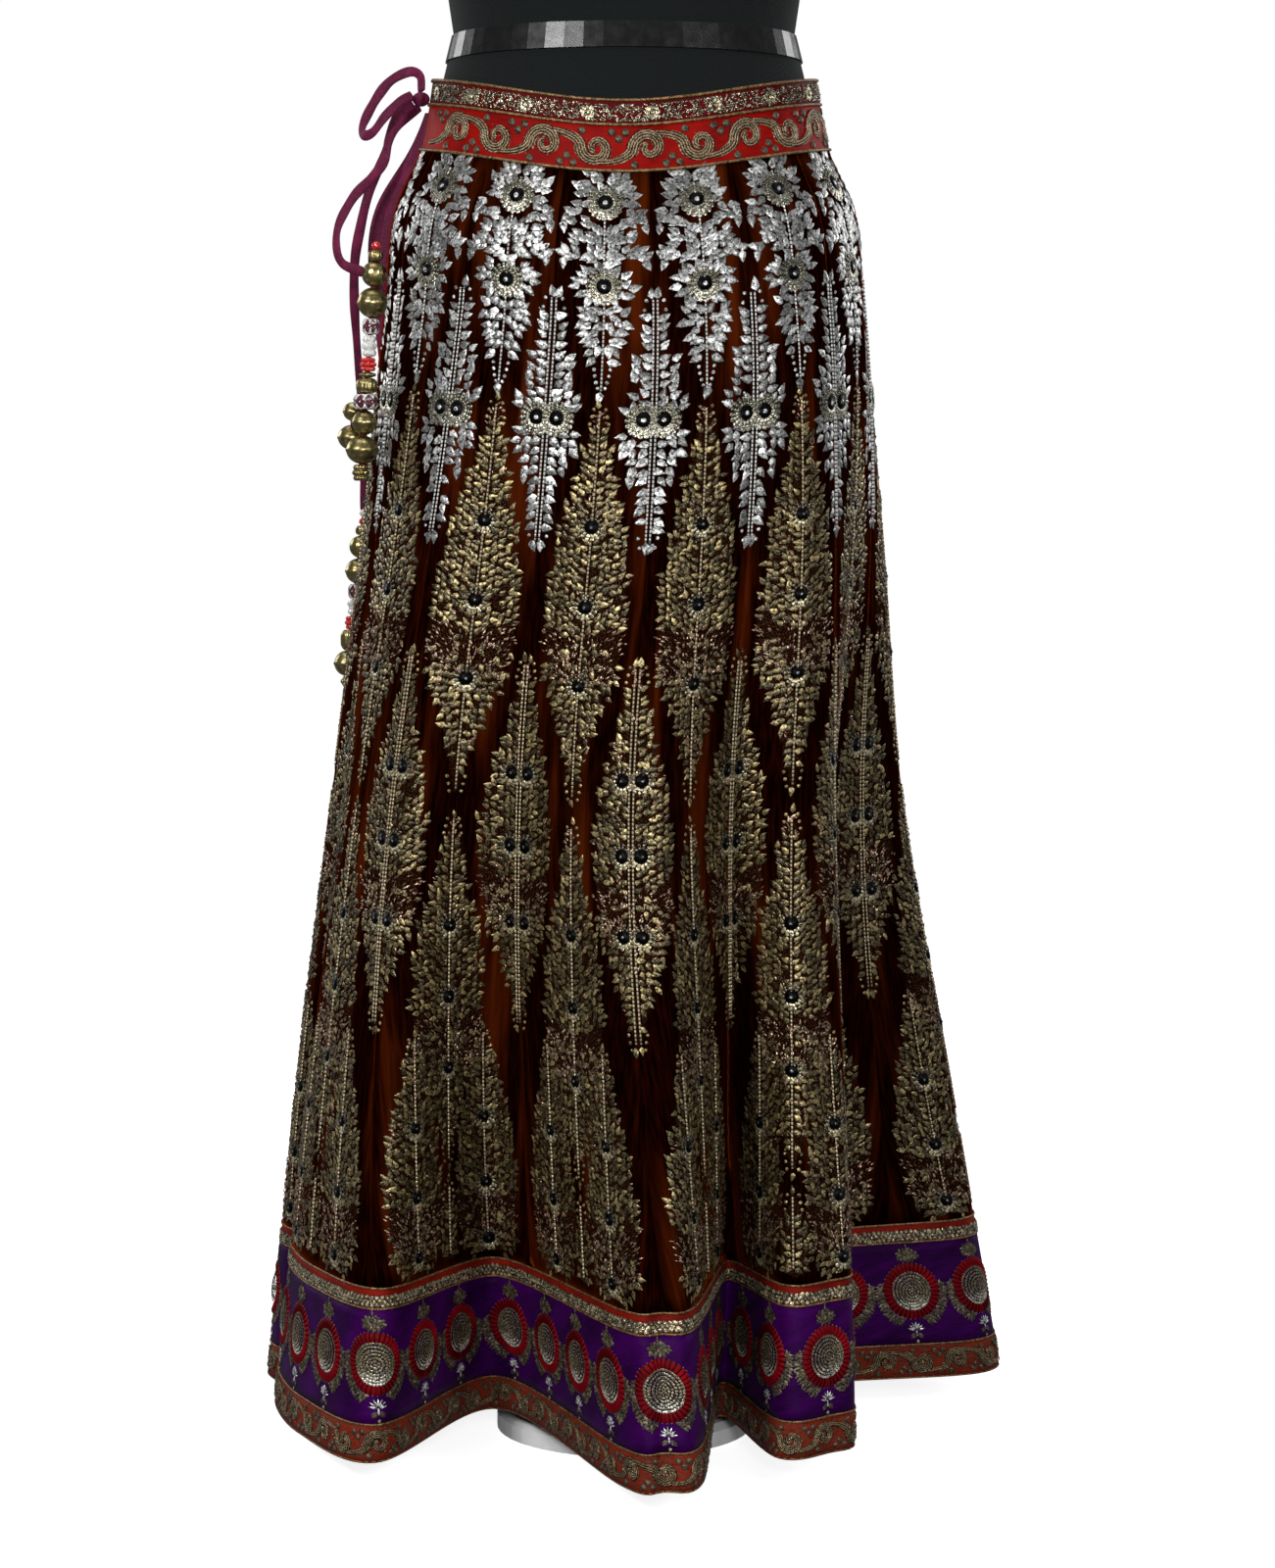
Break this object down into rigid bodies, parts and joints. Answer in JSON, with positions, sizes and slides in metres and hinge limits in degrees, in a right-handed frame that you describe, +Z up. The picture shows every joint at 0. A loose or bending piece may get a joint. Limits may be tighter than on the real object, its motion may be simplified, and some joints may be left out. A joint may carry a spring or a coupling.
{
  "type": "embroidered panelled velvet skirt on a limbless dress form",
  "caption": "Floor-length flared velvet skirt of sewn gores with embroidered rows, beaded waistband, border bands and tasselled ties, worn by a limbless dress form on a round base.",
  "frame": {"origin": "middle of the base's underside, on the floor under the pole", "axes": "+Z up along the pole, -Y towards the skirt's front, +X towards the wearer's left side"},
  "size_m": [0.5535, 0.546, 1.476],
  "materials": {
    "velvet": "dark rust-brown cotton velvet with a coppery sheen",
    "band_beadwork": "dark red silk under dense antique beadwork",
    "band_silk": "bright red silk with a metal-thread scroll vine",
    "border_beadwork": "rust silk edged with sequin and bead work",
    "border_purple": "slubbed purple silk",
    "border_red": "red-orange silk with dull metal-thread scrolls",
    "wine_cloth": "wine velvet",
    "zari": "antique gold leaves, sequins and beads",
    "silver_work": "silver leaves and sequins",
    "black_bead": "gloss black flower eyes",
    "antique_brass": "aged engraved brass",
    "red_glass": "faceted red glass",
    "white_bead": "white and silver seed beads",
    "form_knit": "black ribbed knit cover",
    "form_tape": "glossy black tape",
    "form_steel": "brushed pole",
    "form_enamel": "satin white enamel"
  },
  "bodies": {
    "root": {"kali_side_front": "velvet", "kali_01": "velvet", "kali_02": "velvet", "kali_03": "velvet", "kali_04": "velvet", "kali_05": "velvet", "kali_06": "velvet", "kali_07": "velvet", "kali_08": "velvet", "kali_09": "velvet", "kali_10": "velvet", "kali_11": "velvet", "kali_12": "velvet", "kali_13": "velvet", "kali_side_back": "velvet", "hem_band_beaded": "border_beadwork", "hem_band_purple": "border_purple", "hem_band_scroll": "border_red", "waistband_upper": "band_beadwork", "waistband_lower": "band_silk", "side_gusset": "wine_cloth", "tie_knot": "wine_cloth", "tie_loop_upper": "wine_cloth", "tie_tail_front": "wine_cloth", "tie_tail_back": "wine_cloth", "tassel_front_red_bead": "red_glass", "tassel_front_ribbed_barrel": "antique_brass", "tassel_front_brass_ball": "antique_brass", "tassel_front_seamed_ball": "antique_brass", "tassel_front_petal_bead": "antique_brass", "tassel_front_white_cluster": "white_bead", "tassel_front_red_cluster": "red_glass", "tassel_front_stone_ring": "antique_brass", "tassel_front_long_barrel": "antique_brass", "tassel_front_crown_bead": "antique_brass", "tassel_front_small_bell": "antique_brass", "tassel_front_large_bell": "antique_brass", "tassel_front_gold_cluster": "antique_brass", "tassel_back_white_bead": "white_bead", "tassel_back_red_bead": "red_glass", "tassel_back_ribbed_barrel": "antique_brass", "tassel_back_brass_ball": "antique_brass", "tassel_back_seamed_ball": "antique_brass", "tassel_back_petal_bead": "antique_brass", "tassel_back_white_cluster": "white_bead", "tassel_back_red_cluster": "red_glass", "tassel_back_long_barrel": "antique_brass", "tassel_back_large_bell": "antique_brass", "tassel_back_gold_bead": "antique_brass", "form_torso": "form_knit", "form_waist_tape": "form_tape", "form_neck_cap": "form_enamel", "form_pole": "form_steel", "form_base": "form_enamel"}
  },
  "joints": []
}
